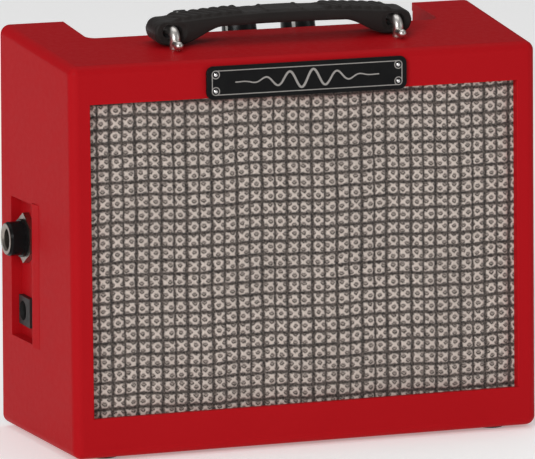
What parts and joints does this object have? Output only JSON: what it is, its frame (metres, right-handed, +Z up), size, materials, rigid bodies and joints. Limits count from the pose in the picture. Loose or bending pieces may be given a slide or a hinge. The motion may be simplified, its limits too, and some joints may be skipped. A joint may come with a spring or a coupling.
{
  "type": "guitar amplifier",
  "caption": "Miniature battery guitar amplifier: red moulded cabinet with woven grille, strap handle, rotary controls on a sloping rear panel, side sockets and an inner speaker.",
  "frame": {"origin": "centre of the base, on the surface that the rubber feet stand on", "axes": "+Z up, -Y towards the grille side, +X to the right seen from the grille side"},
  "size_m": [0.1717, 0.066, 0.1423],
  "materials": {
    "case_red": "semi-gloss moulded",
    "black_plastic": "fine matte texture",
    "black_gloss": "polished",
    "black_rubber": "matte moulded",
    "grille_weave": "woven",
    "board": "black painted fibreboard",
    "chrome": "polished",
    "nickel": "satin",
    "steel_dark": "satin",
    "silver_print": "satin",
    "white_inlay": "painted",
    "paper_cone": "pressed paper",
    "spider_cloth": "woven",
    "copper": "enamelled wire",
    "ferrite": "matte",
    "circuit_green": "solder mask",
    "cap_sleeve": "shrink sleeve",
    "battery_case": "satin",
    "red_lens": "clear",
    "wire_sheath": "smooth"
  },
  "bodies": {
    "cabinet": {"cabinet_shell": "case_red", "rear_cover": "black_plastic", "battery_box": "black_plastic", "battery": "battery_case", "battery_snap": "black_plastic", "battery_leads": "wire_sheath", "rear_screws": "nickel", "rubber_feet": "black_rubber", "grille_cloth": "grille_weave", "speaker_baffle": "board", "baffle_screws": "nickel", "nameplate": "black_gloss", "nameplate_trim": "silver_print", "nameplate_rivets": "chrome", "speaker_basket": "steel_dark", "speaker_gasket": "black_rubber", "speaker_surround": "black_rubber", "speaker_spider": "spider_cloth", "speaker_top_plate": "nickel", "speaker_magnet": "ferrite", "speaker_yoke": "nickel", "speaker_screws": "nickel", "speaker_leads": "wire_sheath", "control_panel": "black_gloss", "control_board": "circuit_green", "amp_chip": "black_plastic", "capacitors": "cap_sleeve", "gain_pot": "nickel", "tone_pot": "nickel", "volume_pot": "nickel", "pot_nuts": "nickel", "power_switch_body": "nickel", "led_lens": "red_lens", "headphone_jack": "black_plastic", "headphone_nut": "nickel", "input_jack_body": "black_plastic", "input_jack_bushing": "black_gloss", "input_jack_ring": "chrome", "input_jack_nut": "chrome", "dc_jack": "black_plastic", "dc_jack_pin": "nickel", "jack_board": "circuit_green", "handle_bails": "chrome", "bail_nuts": "nickel"},
    "handle": {"handle": "black_rubber"},
    "gain_control": {"gain_knob": "black_gloss", "gain_pointer": "white_inlay", "gain_shaft": "nickel"},
    "tone_control": {"tone_knob": "black_gloss", "tone_pointer": "white_inlay", "tone_shaft": "nickel"},
    "volume_control": {"volume_knob": "black_gloss", "volume_pointer": "white_inlay", "volume_shaft": "nickel"},
    "power_switch": {"power_slider": "black_plastic"},
    "battery_hatch": {"battery_door": "black_plastic"},
    "cone": {"speaker_cone": "paper_cone", "dust_cap": "paper_cone", "voice_coil": "copper"}
  },
  "joints": [
    {"name": "handle_lift", "type": "slide", "parent": "cabinet", "child": "handle", "axis": [0, -0.08, 0.9968], "range_m": [0, 0.0006]},
    {"name": "gain_turn", "type": "hinge", "parent": "cabinet", "child": "gain_control", "pos_m": [-0.02535, 0.0194, 0.1252], "axis": [0, -0.2419, -0.9703], "range_deg": [-175, 125]},
    {"name": "tone_turn", "type": "hinge", "parent": "cabinet", "child": "tone_control", "pos_m": [-0.0045, 0.0194, 0.1252], "axis": [0, -0.2419, -0.9703], "range_deg": [-217, 83]},
    {"name": "volume_turn", "type": "hinge", "parent": "cabinet", "child": "volume_control", "pos_m": [0.01635, 0.0194, 0.1252], "axis": [0, -0.2419, -0.9703], "range_deg": [-185, 115]},
    {"name": "power_slide", "type": "slide", "parent": "cabinet", "child": "power_switch", "axis": [1, 0, 0], "range_m": [0, 0.0034]},
    {"name": "battery_door_swing", "type": "hinge", "parent": "cabinet", "child": "battery_hatch", "pos_m": [0.042, 0.0314, 0.01835], "axis": [-1, 0, 0], "range_deg": [0, 80]},
    {"name": "cone_travel", "type": "slide", "parent": "cabinet", "child": "cone", "axis": [0, -0.9996, 0.027], "range_m": [-0.0008, 0.0008], "stiffness_N_per_m": 900, "deforming": ["speaker_surround", "speaker_spider"]}
  ]
}
